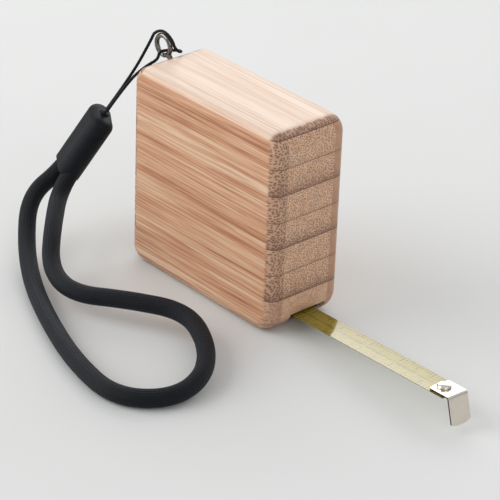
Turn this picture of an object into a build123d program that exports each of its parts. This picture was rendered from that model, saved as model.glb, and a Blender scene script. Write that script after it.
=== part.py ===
"""Pocket tape measure in a laminated bamboo case, with a wrist strap.

Frame: +X is the way the blade leaves the case, Y runs through the case's thickness, +Z is up.
The origin is the centre of the flat foot that the case stands on. All sizes are in millimetres.
"""
from build123d import *
from math import acos, atan2, cos, pi, radians, sin, sqrt, tan
import os

os.makedirs("parts", exist_ok=True)

# ---- driving dimensions --------------------------------------------------------------------------
CASE_L = 50.0            # case length, along X
CASE_H = 50.0            # case height, along Z
COVER_T = 3.75           # thickness of each bamboo cover
FRAME_T = 14.0           # thickness of the middle bamboo frame
CASE_R = 4.0             # corner radius seen from the front
MOUTH_R = 6.0            # the lower corner under the mouth is rounder than the other three
EDGE_R = 3.0             # rounding along the outer edges of the covers
WALL = 3.4               # bamboo wall round the pocket
POCKET_R = 6.0           # corner radius of the pocket
GLUE_FIT = 0.02          # glued dowel in its hole

DOWEL_R = 0.8
DOWEL_DEPTH = 1.8        # how far a dowel reaches into each cover
DOWEL_X = 12.0           # dowels stand at plus and minus this, in the top and bottom walls

CART_FIT = 0.2           # clearance round the cartridge in the pocket
CART_END_FIT = 0.1       # clearance between the cartridge and each cover
PLATE_T = 1.2            # floor and lid of the cartridge
SKIN = 1.2               # side wall of the cartridge
BOSS_R = 1.7
BOSS_INSET = 4.4         # boss centre from the cartridge's outer sides
SCREW_R = 0.7            # cartridge screw shank
SCREW_HEAD_R = 1.4
SCREW_LEN = 6.0
SCREW_PILOT_FIT = 0.03
SCREW_DRIVE = 0.35       # depth and width of the cross recess

POST_R = 2.5             # arbor that the reel turns on
POST_END_R = 1.9         # its stepped ends, held in the floor and the lid
POST_END_FIT = 0.03
SPRING_SLOT = 0.6        # slot across the arbor for the spring's inner end

RUN_FIT = 0.06           # radial running clearance of the reel on the arbor
CHANNEL_FIT = 0.275      # between the tape's edge and each flange
FLANGE_T = 0.8
FLANGE_R = 16.2
DRUM_R = 11.0            # the tape is wound on this
CAVITY_R = 9.8           # the power spring lies inside this
WASHER_R = 4.6
WASHER_GAP = 0.1         # side play of the reel at each washer

TAPE_W = 6.35            # tape width
TAPE_T = 0.15            # coated steel tape
TAPE_SAG = 0.25          # depth of the concave section
COIL_PITCH = 0.2         # radial growth of the coil with each turn
COIL_HALF_TURNS = 25     # an odd number, so the coil ends opposite its start
COIL_GAP = 0.1           # between the drum and the first turn

SPRING_T = 0.2
SPRING_W = 6.0
SPRING_PITCH = 0.66
SPRING_HALF_TURNS = 17   # odd, like the coil's
SPRING_R0 = 3.1          # inner radius of the power spring
PIN_R = 0.45             # pin that holds the spring's outer end
SPRING_PIN_GAP = 0.05
SPRING_TAB_IN = 1.0      # the spring's inner end reaches in to this radius, through the arbor's slot

MOUTH_Z = 3.6            # height of the tape's edges where it leaves the case
BLADE_RISE = 4.0         # degrees that the free blade points above level
BLADE_LEAN = -3.0        # degrees that it points off the middle plane
BLADE_OUT = 45.1         # from the mouth to the rear edge of the hook
BLADE_IN = 4.0           # tape inside the mouth, up to the lead
SLOT_FIT_FRONT = 0.625   # from the tape's near edge to the mouth slot's end
SLOT_WEB = 0.1           # wood left between the slot's far end and the back cover
SLOT_FIT_UNDER = 2.0     # from the tape's edges to the slot's lips
SLOT_FIT_OVER = 0.4
SLOT_DEPTH = 8.6         # the mouth runs this far in from the end face
NOTCH_DEPTH = 12.5       # the opening in the cartridge floor runs this far in
NOTCH_FIT = 1.8          # and up to this far above the tape's edges
GUIDE_T = 0.45           # liner on the mouth's lower lip
GUIDE_LEN = 5.6
GUIDE_SETBACK = 2.8      # liner's front edge behind the end face
WIPER_T = 0.25
WIPER_LEN = 2.4
WIPER_SETBACK = 0.8
LEAD_R = 6.0             # bend of the tape between the coil and the mouth
LEAD_FLAT = 3.0          # level run from that bend to the blade's inner end
LEAD_GAP = 0.3           # play between that run and the blade

HOOK_T = 0.4
HOOK_PLATE = 6.4         # length of the riveted plate
HOOK_W = 5.6
HOOK_REAR_W = 4.8        # the plate narrows to this at its rear edge
HOOK_TAPER = 0.8         # length of the narrowed part
LIP_LEN = 6.3
LIP_FLARE = 12.0         # degrees that the lip leans outwards
LIP_BOW = 0.6            # how far the lip's rounded foot bulges below its corners
HOOK_PLAY = 0.5          # end play of the hook on its rivet
HOOK_LIFT = 0.05         # running gap under and over the plate
RIVET_R = 0.8
RIVET_HEAD_R = 1.7
RIVET_HEAD_H = 0.9
RIVET_TAIL_R = 1.4
RIVET_TAIL_H = 0.3
RIVET_BACK = 4.3         # rivet's axis behind the hook's front bend
RIVET_FIT = 0.05

EYE_RING_R = 2.4         # mean radius of the screw eye's ring
EYE_WIRE_R = 0.6
EYE_STAND = 3.75         # ring's centre above the bamboo corner
EYE_SHANK_R = 0.75
EYE_SHANK_LEN = 4.8
EYE_HOLE_FIT = 0.05

CORD_D = 0.75            # thin cord that is hitched to the screw eye
ROPE_D = 4.3             # braided wrist rope
KNOT_R = 1.15
KNOT_LEN = 2.2
CAP_W = 10.0
CAP_T = 5.8
CAP_LEN = 17.5
CAP_POCKET = 8.0         # depth of the rope pocket
CAP_TOP_R = 2.0
ROPE_GAP = 0.05          # between the two rope ends, and round them in the cap

# ---- values that follow from them ----------------------------------------------------------------
CASE_T = FRAME_T + 2 * COVER_T
POCKET_L = CASE_L - 2 * WALL
POCKET_H = CASE_H - 2 * WALL
CART_L = POCKET_L - 2 * CART_FIT
CART_H = POCKET_H - 2 * CART_FIT
CART_R = POCKET_R - CART_FIT
CART_T = FRAME_T - 2 * CART_END_FIT
SLOT_FRONT = -TAPE_W / 2 - SLOT_FIT_FRONT
SLOT_BACK = FRAME_T / 2 - SLOT_WEB
SLOT_W = SLOT_BACK - SLOT_FRONT
SLOT_MID = (SLOT_FRONT + SLOT_BACK) / 2
SLOT_LOW = MOUTH_Z - SLOT_FIT_UNDER
SLOT_HIGH = MOUTH_Z + SLOT_FIT_OVER
NOTCH_HIGH = MOUTH_Z + NOTCH_FIT
INNER_W = CART_T - 2 * PLATE_T
BOSS_STEP_X = CART_L - 2 * BOSS_INSET
BOSS_STEP_Z = CART_H - 2 * BOSS_INSET
DOWEL_STEP_Z = CASE_H - WALL
CHANNEL = TAPE_W + 2 * CHANNEL_FIT
REEL_W = CHANNEL + 2 * FLANGE_T
WASHER_T = (INNER_W - REEL_W) / 2 - 2 * WASHER_GAP
COIL_R0 = DRUM_R + COIL_GAP
COIL_R = COIL_R0 + COIL_PITCH / 2 * (COIL_HALF_TURNS - 1) + TAPE_T
SPRING_R = SPRING_R0 + SPRING_PITCH / 2 * (SPRING_HALF_TURNS - 1) + SPRING_T
REEL_Z = CASE_H / 2

case_plane = Plane(origin=(0, 0, CASE_H / 2), x_dir=(1, 0, 0), z_dir=(0, -1, 0))  # faces the front

rise = radians(BLADE_RISE)
lean = radians(BLADE_LEAN)
blade_dir = Vector(cos(rise) * cos(lean), cos(rise) * sin(lean), sin(rise))
blade_side = Vector(-sin(lean), cos(lean), 0)
mouth = Vector(CASE_L / 2, 0, MOUTH_Z)
blade_flat = Plane(origin=mouth, x_dir=blade_dir, z_dir=blade_dir.cross(blade_side))
HOOK_FRONT = BLADE_OUT + HOOK_PLATE
RIVET_S = HOOK_FRONT - RIVET_BACK


def case_outline():
    """The case seen from the front: three corners alike, and a rounder one under the mouth."""
    RectangleRounded(CASE_L, CASE_H, CASE_R)
    with Locations((-CASE_R, CASE_R)):
        RectangleRounded(CASE_L + 2 * CASE_R, CASE_H + 2 * CASE_R, MOUTH_R, mode=Mode.INTERSECT)


def spiral_band(first_radius, pitch, half_turns, thickness):
    """Outline of a strip wound outwards, counterclockwise, from an odd number of growing semicircles."""
    for radius in (first_radius, first_radius + thickness):
        for k in range(half_turns):
            CenterArc(
                center=(pitch / 2 * (k % 2), 0),
                radius=radius + k * pitch / 2,
                start_angle=180 * (k % 2),
                arc_size=180,
            )
    end = first_radius + (half_turns - 1) * pitch / 2
    Line((first_radius, 0), (first_radius + thickness, 0))
    Line((-end, 0), (-end - thickness, 0))


# ---- bamboo case: front cover, middle frame and back cover, glued on four dowels -----------------
with BuildPart() as front_cover:
    with BuildSketch(case_plane.offset(FRAME_T / 2)):
        case_outline()
    extrude(amount=COVER_T)
    fillet(front_cover.faces().sort_by(Axis.Y)[0].edges(), radius=EDGE_R)
    with BuildSketch(case_plane.offset(FRAME_T / 2)):
        with GridLocations(2 * DOWEL_X, DOWEL_STEP_Z, 2, 2):
            Circle(DOWEL_R + GLUE_FIT)
    extrude(amount=DOWEL_DEPTH + GLUE_FIT, mode=Mode.SUBTRACT)

with BuildPart() as back_cover:
    with BuildSketch(case_plane.offset(-FRAME_T / 2)):
        case_outline()
    extrude(amount=-COVER_T)
    fillet(back_cover.faces().sort_by(Axis.Y)[-1].edges(), radius=EDGE_R)
    with BuildSketch(case_plane.offset(-FRAME_T / 2)):
        with GridLocations(2 * DOWEL_X, DOWEL_STEP_Z, 2, 2):
            Circle(DOWEL_R + GLUE_FIT)
    extrude(amount=-DOWEL_DEPTH - GLUE_FIT, mode=Mode.SUBTRACT)

eye_dir = Vector(-1, 0, 1).normalized()
eye_foot = Vector(-CASE_L / 2 + CASE_R, 0, CASE_H - CASE_R) + eye_dir * CASE_R
eye_plane = Plane(origin=eye_foot, x_dir=(0, 1, 0), z_dir=eye_dir)

with BuildPart() as case_frame:
    with BuildSketch(case_plane.offset(-FRAME_T / 2)):
        case_outline()
        RectangleRounded(POCKET_L, POCKET_H, POCKET_R, mode=Mode.SUBTRACT)
        with GridLocations(2 * DOWEL_X, DOWEL_STEP_Z, 2, 2):
            Circle(DOWEL_R + GLUE_FIT, mode=Mode.SUBTRACT)
    extrude(amount=FRAME_T)
    with BuildSketch(Plane.YZ.offset(CASE_L / 2 - SLOT_DEPTH)):
        with Locations((SLOT_MID, (SLOT_LOW + SLOT_HIGH) / 2)):
            Rectangle(SLOT_W, SLOT_HIGH - SLOT_LOW)
    extrude(amount=SLOT_DEPTH + 1, mode=Mode.SUBTRACT)
    with BuildSketch(eye_plane.offset(1)):
        Circle(EYE_SHANK_R + EYE_HOLE_FIT)
    extrude(amount=-EYE_SHANK_LEN - 1 - EYE_HOLE_FIT, mode=Mode.SUBTRACT)

with BuildPart() as cover_dowels:
    with BuildSketch(case_plane.offset(-FRAME_T / 2 - DOWEL_DEPTH)):
        with GridLocations(2 * DOWEL_X, DOWEL_STEP_Z, 2, 2):
            Circle(DOWEL_R)
    extrude(amount=FRAME_T + 2 * DOWEL_DEPTH)
    chamfer(cover_dowels.edges().filter_by(GeomType.CIRCLE), length=DOWEL_R / 4)

# ---- tape cartridge: tray, lid, screws and arbor -------------------------------------------------
with BuildPart() as cartridge_tray:
    with BuildSketch(case_plane.offset(-CART_T / 2)):
        RectangleRounded(CART_L, CART_H, CART_R)
        Circle(POST_END_R + POST_END_FIT, mode=Mode.SUBTRACT)
    extrude(amount=CART_T - PLATE_T)
    with BuildSketch(case_plane.offset(-CART_T / 2 + PLATE_T)):
        RectangleRounded(CART_L - 2 * SKIN, CART_H - 2 * SKIN, CART_R - SKIN)
    extrude(amount=CART_T, mode=Mode.SUBTRACT)
    with BuildSketch(case_plane.offset(-CART_T / 2 + PLATE_T)):
        with GridLocations(BOSS_STEP_X, BOSS_STEP_Z, 2, 2):
            Circle(BOSS_R)
    extrude(amount=INNER_W)
    with BuildSketch(case_plane.offset(CART_T / 2 - PLATE_T)):
        with GridLocations(BOSS_STEP_X, BOSS_STEP_Z, 2, 2):
            Circle(SCREW_R + SCREW_PILOT_FIT)
    extrude(amount=-SCREW_LEN, mode=Mode.SUBTRACT)
    with BuildSketch(Plane.YZ.offset(CASE_L / 2 - NOTCH_DEPTH)):
        with Locations((0, NOTCH_HIGH / 2)):
            Rectangle(INNER_W, NOTCH_HIGH)
    extrude(amount=NOTCH_DEPTH, mode=Mode.SUBTRACT)

with BuildPart() as cartridge_lid:
    with BuildSketch(case_plane.offset(CART_T / 2 - PLATE_T)):
        RectangleRounded(CART_L, CART_H, CART_R)
        Circle(POST_END_R + POST_END_FIT, mode=Mode.SUBTRACT)
    extrude(amount=PLATE_T)
    with Locations(case_plane.offset(CART_T / 2)):
        with GridLocations(BOSS_STEP_X, BOSS_STEP_Z, 2, 2):
            CounterSinkHole(SCREW_R + RUN_FIT, SCREW_HEAD_R + RUN_FIT, counter_sink_angle=90)

with BuildPart() as cartridge_screws:
    with Locations(case_plane.offset(CART_T / 2)):
        with GridLocations(BOSS_STEP_X, BOSS_STEP_Z, 2, 2):
            Cone(
                bottom_radius=SCREW_R,
                top_radius=SCREW_HEAD_R,
                height=SCREW_HEAD_R - SCREW_R,
                align=(Align.CENTER, Align.CENTER, Align.MAX),
            )
            Cylinder(SCREW_R, SCREW_LEN, align=(Align.CENTER, Align.CENTER, Align.MAX))
            Box(
                2 * SCREW_R,
                SCREW_DRIVE,
                SCREW_DRIVE,
                align=(Align.CENTER, Align.CENTER, Align.MAX),
                mode=Mode.SUBTRACT,
            )

with BuildPart() as centre_post:
    with BuildSketch(case_plane.offset(-INNER_W / 2)):
        Circle(POST_R)
    extrude(amount=INNER_W)
    with BuildSketch(case_plane.offset(-CART_T / 2)):
        Circle(POST_END_R)
    extrude(amount=CART_T)
    with BuildSketch(case_plane.offset(-SPRING_W / 2 - SPRING_T)):
        Rectangle(2 * POST_R + 1, SPRING_SLOT)
    extrude(amount=SPRING_W + 2 * SPRING_T, mode=Mode.SUBTRACT)

# ---- reel: drum with its rear flange, front flange, spring pin and wound tape --------------------
PIN_SPOT = (-SPRING_R - PIN_R - SPRING_PIN_GAP, 0)

with BuildPart() as reel_drum:
    with BuildSketch(case_plane.offset(-REEL_W / 2)):
        Circle(FLANGE_R)
        Circle(POST_R + RUN_FIT, mode=Mode.SUBTRACT)
    extrude(amount=FLANGE_T)
    with BuildSketch(case_plane.offset(-CHANNEL / 2)):
        Circle(DRUM_R)
        Circle(CAVITY_R, mode=Mode.SUBTRACT)
    extrude(amount=CHANNEL)

with BuildPart() as reel_flange:
    with BuildSketch(case_plane.offset(CHANNEL / 2)):
        Circle(FLANGE_R)
        Circle(POST_R + RUN_FIT, mode=Mode.SUBTRACT)
    extrude(amount=FLANGE_T)

with BuildPart() as spring_pin:
    with BuildSketch(case_plane.offset(-CHANNEL / 2)):
        with Locations(PIN_SPOT):
            Circle(PIN_R)
    extrude(amount=CHANNEL)

with BuildPart() as reel_washer_front:
    with BuildSketch(case_plane.offset(REEL_W / 2 + WASHER_GAP)):
        Circle(WASHER_R)
        Circle(POST_R + RUN_FIT, mode=Mode.SUBTRACT)
    extrude(amount=WASHER_T)

with BuildPart() as reel_washer_back:
    with BuildSketch(case_plane.offset(-REEL_W / 2 - WASHER_GAP)):
        Circle(WASHER_R)
        Circle(POST_R + RUN_FIT, mode=Mode.SUBTRACT)
    extrude(amount=-WASHER_T)

with BuildPart() as power_spring:
    with BuildSketch(case_plane.offset(-SPRING_W / 2)):
        with BuildLine():
            spiral_band(SPRING_R0, SPRING_PITCH, SPRING_HALF_TURNS, SPRING_T)
        make_face()
        with Locations((SPRING_TAB_IN, 0)):
            Rectangle(SPRING_R0 + SPRING_T - SPRING_TAB_IN, SPRING_T, align=(Align.MIN, Align.CENTER))
    extrude(amount=SPRING_W)

# The tape leaves the coil at a tangent, runs down to the mouth and bends into the free blade.
lead_end = mouth - blade_dir * BLADE_IN
lead_knee = Vector(lead_end.X - LEAD_FLAT, 0, lead_end.Z - TAPE_SAG / 2)
LEAD_TOUCH_R = COIL_R + COIL_GAP + TAPE_T / 2
knee_reach = sqrt(lead_knee.X**2 + (lead_knee.Z - REEL_Z) ** 2)
touch_angle = atan2(lead_knee.Z - REEL_Z, lead_knee.X) - acos(LEAD_TOUCH_R / knee_reach)
touch = Vector(LEAD_TOUCH_R * cos(touch_angle), 0, REEL_Z + LEAD_TOUCH_R * sin(touch_angle))
coil_plane = Plane(
    origin=(0, 0, REEL_Z), x_dir=(-cos(touch_angle), 0, -sin(touch_angle)), z_dir=(0, -1, 0)
)

with BuildPart() as tape_coil:
    with BuildSketch(coil_plane.offset(-TAPE_W / 2)):
        with BuildLine():
            spiral_band(COIL_R0, COIL_PITCH, COIL_HALF_TURNS, TAPE_T)
        make_face()
    extrude(amount=TAPE_W)

with BuildPart() as tape_lead:
    with BuildLine() as lead_path:
        FilletPolyline(touch, lead_knee, lead_knee + Vector(LEAD_FLAT - LEAD_GAP, 0, 0), radius=LEAD_R)
    with BuildSketch(Plane(origin=touch, x_dir=(0, 1, 0), z_dir=lead_path.line % 0)):
        Rectangle(TAPE_W, TAPE_T)
    sweep()

# ---- mouth: liner under the tape and felt wiper over it ------------------------------------------
with BuildPart() as mouth_liner:
    with BuildSketch(Plane.YZ.offset(CASE_L / 2 - GUIDE_SETBACK)):
        with Locations((SLOT_MID, SLOT_LOW + GUIDE_T / 2)):
            Rectangle(SLOT_W - 2 * CART_FIT, GUIDE_T)
    extrude(amount=-GUIDE_LEN)
    fillet(mouth_liner.edges().filter_by(Axis.Y).group_by(Axis.Z)[-1], radius=GUIDE_T / 3)

with BuildPart() as felt_wiper:
    with BuildSketch(Plane.YZ.offset(CASE_L / 2 - WIPER_SETBACK)):
        with Locations((SLOT_MID, SLOT_HIGH - WIPER_T / 2)):
            Rectangle(SLOT_W - 2 * CART_FIT, WIPER_T)
    extrude(amount=-WIPER_LEN)

# ---- blade, hook and rivet -----------------------------------------------------------------------
blade_start = Plane(origin=mouth - blade_dir * BLADE_IN, x_dir=blade_side, z_dir=blade_dir)
BLADE_END = HOOK_FRONT - HOOK_T - 2 * HOOK_PLAY
HALF_W = TAPE_W / 2
SECTION_R = (HALF_W**2 + TAPE_SAG**2) / (2 * TAPE_SAG)
edge_angle = atan2(HALF_W, SECTION_R - TAPE_SAG)
OUTER_R = SECTION_R + TAPE_T
LOW_EDGE = (OUTER_R * sin(edge_angle), SECTION_R - TAPE_SAG - OUTER_R * cos(edge_angle))

with BuildPart() as tape_blade:
    with BuildSketch(blade_start):
        with BuildLine():
            ThreePointArc((-HALF_W, 0), (0, -TAPE_SAG), (HALF_W, 0))
            Line((HALF_W, 0), LOW_EDGE)
            ThreePointArc(LOW_EDGE, (0, -TAPE_SAG - TAPE_T), (-LOW_EDGE[0], LOW_EDGE[1]))
            Line((-LOW_EDGE[0], LOW_EDGE[1]), (-HALF_W, 0))
        make_face()
    extrude(amount=BLADE_IN + BLADE_END)
    with BuildSketch(blade_flat.offset(1)):
        with Locations((RIVET_S, 0)):
            Circle(RIVET_R + RIVET_FIT)
    extrude(amount=-3, mode=Mode.SUBTRACT)

lip_plane = Plane(
    origin=blade_flat.from_local_coords((HOOK_FRONT, 0, HOOK_LIFT + HOOK_T)),
    x_dir=blade_side,
    z_dir=blade_dir.rotate(Axis((0, 0, 0), blade_side), -LIP_FLARE),
)

with BuildPart() as end_hook:
    with BuildSketch(blade_flat.offset(HOOK_LIFT)):
        with BuildLine():
            Polyline(
                (BLADE_OUT, -HOOK_REAR_W / 2),
                (BLADE_OUT + HOOK_TAPER, -HOOK_W / 2),
                (HOOK_FRONT, -HOOK_W / 2),
                (HOOK_FRONT, HOOK_W / 2),
                (BLADE_OUT + HOOK_TAPER, HOOK_W / 2),
                (BLADE_OUT, HOOK_REAR_W / 2),
                close=True,
            )
        make_face()
        with Locations((RIVET_S + HOOK_PLAY / 2, 0)):
            SlotCenterToCenter(HOOK_PLAY, 2 * (RIVET_R + RIVET_FIT), mode=Mode.SUBTRACT)
    extrude(amount=HOOK_T)
    with BuildSketch(lip_plane):
        with BuildLine():
            Line((-HOOK_W / 2, 0), (HOOK_W / 2, 0))
            Line((HOOK_W / 2, 0), (HOOK_W / 2, -LIP_LEN))
            ThreePointArc((HOOK_W / 2, -LIP_LEN), (0, -LIP_LEN - LIP_BOW), (-HOOK_W / 2, -LIP_LEN))
            Line((-HOOK_W / 2, -LIP_LEN), (-HOOK_W / 2, 0))
        make_face()
    extrude(amount=-HOOK_T)

with BuildPart() as hook_rivet:
    rivet_top = HOOK_T + 2 * HOOK_LIFT
    with BuildSketch(blade_flat.offset(-TAPE_SAG - TAPE_T)):
        with Locations((RIVET_S, 0)):
            Circle(RIVET_R)
    extrude(amount=TAPE_SAG + TAPE_T + rivet_top)
    with BuildSketch(blade_flat.offset(rivet_top)):
        with Locations((RIVET_S, 0)):
            Circle(RIVET_HEAD_R)
    extrude(amount=RIVET_HEAD_H)
    fillet(hook_rivet.faces().sort_by(Axis(mouth, blade_flat.z_dir))[-1].edges(), radius=RIVET_HEAD_H * 0.6)
    with BuildSketch(blade_flat.offset(-TAPE_SAG - TAPE_T - HOOK_LIFT)):
        with Locations((RIVET_S, 0)):
            Circle(RIVET_TAIL_R)
    extrude(amount=-RIVET_TAIL_H)
    with BuildSketch(blade_flat.offset(-TAPE_SAG - TAPE_T - HOOK_LIFT)):
        with Locations((RIVET_S, 0)):
            Circle(RIVET_R)
    extrude(amount=HOOK_LIFT)

# ---- screw eye in the rear top corner ------------------------------------------------------------
eye_centre = eye_foot + eye_dir * EYE_STAND

with BuildPart() as screw_eye:
    with BuildSketch(eye_plane.offset(-EYE_SHANK_LEN)):
        Circle(EYE_SHANK_R)
    extrude(amount=EYE_SHANK_LEN + EYE_STAND - EYE_RING_R)
    with BuildSketch(Plane(origin=eye_centre + Vector(EYE_RING_R, 0, 0), z_dir=(0, 0, 1))):
        Circle(EYE_WIRE_R)
    revolve(axis=Axis(eye_centre, (0, 1, 0)), revolution_arc=360)

# ---- wrist strap: thin cord, knot, cap and braided rope ------------------------------------------
cap_top = Vector(-37.3, -8.8, 32.3)
cap_foot_aim = Vector(-44.4, -14.4, 17.0)
cap_dir = (cap_top - cap_foot_aim).normalized()
strand_dir = Vector(0.829, -0.525, -0.194)
strand_dir = (strand_dir - cap_dir * strand_dir.dot(cap_dir)).normalized()
cap_plane = Plane(origin=cap_top, x_dir=strand_dir, z_dir=cap_dir)

with BuildPart() as strap_cap:
    with BuildSketch(cap_plane.offset(-CAP_LEN)):
        RectangleRounded(CAP_W, CAP_T, CAP_T / 2 - 0.05)
    extrude(amount=CAP_LEN)
    top_edges = strap_cap.faces().filter_by(Plane(cap_top, z_dir=cap_dir)).sort_by(Axis(cap_top, cap_dir))
    fillet(top_edges[-1].edges(), radius=CAP_TOP_R)
    with BuildSketch(cap_plane.offset(-CAP_LEN)):
        SlotOverall(2 * ROPE_D + 3 * ROPE_GAP, ROPE_D + 2 * ROPE_GAP)
    extrude(amount=CAP_POCKET, mode=Mode.SUBTRACT)
    with BuildSketch(cap_plane):
        Circle(KNOT_R + ROPE_GAP)
    extrude(amount=-KNOT_LEN / 2, mode=Mode.SUBTRACT)

with BuildPart() as cord_knot:
    with BuildSketch(cap_plane.offset(-KNOT_LEN / 2)):
        Circle(KNOT_R)
    extrude(amount=KNOT_LEN)
    chamfer(cord_knot.edges(), length=KNOT_R / 6)


def cord_path_radii(points):
    """One bend radius for each corner of a cord's route, as large as its two runs allow."""
    radii = []
    for before, corner, after in zip(points, points[1:], points[2:]):
        run_in = corner - before
        run_out = after - corner
        turn = run_in.get_angle(run_out)
        radii.append(0.45 * min(run_in.length, run_out.length) / tan(radians(turn) / 2))
    return radii


def report_cord(name, path, radii, diameter, volume):
    """Prints a cord's radii, and its volume against its section times its length."""
    length = path.wires()[0].length
    ideal = pi * diameter**2 / 4 * length
    print(name, "length", round(length, 1), "volume ratio", round(volume / ideal, 4))
    print("  radii", [round(r, 1) for r in radii])


knot_top = cap_plane.from_local_coords((0, 0, KNOT_LEN / 2))
half_pitch = CORD_D / 2 + ROPE_GAP
strap_cord_route = [
    cap_plane.from_local_coords((-half_pitch, 0, KNOT_LEN / 2)),
    Vector(-31.7, -4.3, 43.2),
    Vector(-29.2, -0.9, 52.5),
    Vector(-28.5, -0.3, 54.7),
    Vector(-26.1, 0.2, 55.7),
    Vector(-23.2, 0.7, 54.3),
    Vector(-22.5, 1.2, 51.8),
    Vector(-22.9, 2.1, 50.6),
    Vector(-24.4, 2.0, 50.7),
    Vector(-25.7, 0.6, 51.4),
    Vector(-26.9, -1.3, 51.0),
    Vector(-26.7, -1.7, 48.7),
    Vector(-27.2, -4.4, 47.5),
    Vector(-31.8, -5.4, 42.1),
    cap_plane.from_local_coords((half_pitch, 0, KNOT_LEN / 2)),
]
with BuildPart() as strap_cord:
    cord_radii = cord_path_radii(strap_cord_route)
    with BuildLine() as cord_path:
        FilletPolyline(*strap_cord_route, radius=cord_radii)
    with BuildSketch(Plane(origin=cord_path.line @ 0, z_dir=cord_path.line % 0)):
        Circle(CORD_D / 2)
    sweep()
report_cord("strap_cord", cord_path.line, cord_radii, CORD_D, strap_cord.part.volume)

strand_step = ROPE_D / 2 + ROPE_GAP / 2
wrist_rope_route = [
    cap_plane.from_local_coords((-strand_step, 0, -CAP_LEN + CAP_POCKET)),
    Vector(-47.0, -14.0, 15.5),
    Vector(-47.5, -23.5, 11.0),
    Vector(-37.5, -32.0, 4.5),
    Vector(-25.0, -39.5, 2.2),
    Vector(-8.5, -47.0, 2.2),
    Vector(8.5, -53.0, 2.2),
    Vector(25.0, -55.5, 2.2),
    Vector(33.5, -46.5, 2.2),
    Vector(32.0, -36.0, 2.9),
    Vector(23.5, -27.5, 4.0),
    Vector(11.0, -23.0, 5.5),
    Vector(-1.0, -31.0, 6.0),
    Vector(-12.0, -38.0, 5.0),
    Vector(-23.0, -36.0, 6.0),
    Vector(-31.0, -29.0, 11.5),
    Vector(-44.0, -16.5, 13.5),
    cap_plane.from_local_coords((strand_step, 0, -CAP_LEN + CAP_POCKET)),
]
with BuildPart() as wrist_rope:
    rope_radii = cord_path_radii(wrist_rope_route)
    with BuildLine() as rope_path:
        FilletPolyline(*wrist_rope_route, radius=rope_radii)
    with BuildSketch(Plane(origin=rope_path.line @ 0, z_dir=rope_path.line % 0)):
        Circle(ROPE_D / 2)
    sweep()
report_cord("wrist_rope", rope_path.line, rope_radii, ROPE_D, wrist_rope.part.volume)

# ---- one file for each piece ---------------------------------------------------------------------
pieces = {
    "front_cover": front_cover,
    "case_frame": case_frame,
    "back_cover": back_cover,
    "cover_dowels": cover_dowels,
    "cartridge_tray": cartridge_tray,
    "cartridge_lid": cartridge_lid,
    "cartridge_screws": cartridge_screws,
    "centre_post": centre_post,
    "reel_drum": reel_drum,
    "reel_flange": reel_flange,
    "spring_pin": spring_pin,
    "reel_washer_front": reel_washer_front,
    "reel_washer_back": reel_washer_back,
    "power_spring": power_spring,
    "tape_coil": tape_coil,
    "tape_lead": tape_lead,
    "mouth_liner": mouth_liner,
    "felt_wiper": felt_wiper,
    "tape_blade": tape_blade,
    "end_hook": end_hook,
    "hook_rivet": hook_rivet,
    "screw_eye": screw_eye,
    "cord_knot": cord_knot,
    "strap_cord": strap_cord,
    "strap_cap": strap_cap,
    "wrist_rope": wrist_rope,
}
for name, piece in pieces.items():
    piece.part.label = name
    export_step(piece.part, f"parts/{name}.step")
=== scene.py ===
"""Pocket tape measure in a bamboo case with a wrist strap: looks, light and camera.

Metres throughout. +X is the way the tape leaves the case, the front cover faces -Y, +Z is up.
"""
from math import cos, pi, radians, sin, sqrt, tan

import bpy
from mathutils import Matrix, Vector


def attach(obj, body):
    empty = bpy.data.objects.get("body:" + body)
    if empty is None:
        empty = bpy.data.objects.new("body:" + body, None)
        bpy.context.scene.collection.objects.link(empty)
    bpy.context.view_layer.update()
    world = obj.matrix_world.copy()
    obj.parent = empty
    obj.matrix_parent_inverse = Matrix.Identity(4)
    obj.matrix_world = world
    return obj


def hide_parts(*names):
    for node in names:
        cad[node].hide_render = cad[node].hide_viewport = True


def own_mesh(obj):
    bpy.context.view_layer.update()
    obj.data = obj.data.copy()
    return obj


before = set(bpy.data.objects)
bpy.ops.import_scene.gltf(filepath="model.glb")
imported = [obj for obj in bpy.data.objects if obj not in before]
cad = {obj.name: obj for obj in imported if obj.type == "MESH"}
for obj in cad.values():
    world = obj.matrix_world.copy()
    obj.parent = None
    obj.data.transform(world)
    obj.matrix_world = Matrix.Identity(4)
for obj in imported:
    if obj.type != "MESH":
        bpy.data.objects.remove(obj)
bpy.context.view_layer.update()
MM = 0.001

# ---- camera ------------------------------------------------------------------------------------
# A long lens at arm's length, looking down on the corner between the front cover and the end
# face, turned a little on its own axis.
LOOK_AT = Vector((0, 0, 25)) * MM
AZIMUTH, ELEVATION, ROLL = radians(47.66), radians(28.48), radians(2.19)
DISTANCE = 581.65 * MM
ASIDE, UPWARD = 3.44 * MM, -14.19 * MM
SENSOR, FOCAL_LENGTH = 36, 182.18     # in millimetres, as the camera takes them
back = Vector((sin(AZIMUTH) * cos(ELEVATION), -cos(AZIMUTH) * cos(ELEVATION), sin(ELEVATION)))
level = Vector((cos(AZIMUTH), sin(AZIMUTH), 0))
upright = back.cross(level)
camera_x = cos(ROLL) * level + sin(ROLL) * upright
camera_y = cos(ROLL) * upright - sin(ROLL) * level
camera = bpy.data.objects.new("camera", bpy.data.cameras.new("camera"))
camera.data.sensor_width = SENSOR
camera.data.lens = FOCAL_LENGTH
camera.data.clip_start = 0.01
turn = Matrix((camera_x, camera_y, back)).transposed().to_4x4()
camera.matrix_world = Matrix.Translation(
    LOOK_AT + back * DISTANCE + camera_x * ASIDE + camera_y * UPWARD
) @ turn
bpy.context.collection.objects.link(camera)
bpy.context.scene.camera = camera


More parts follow.
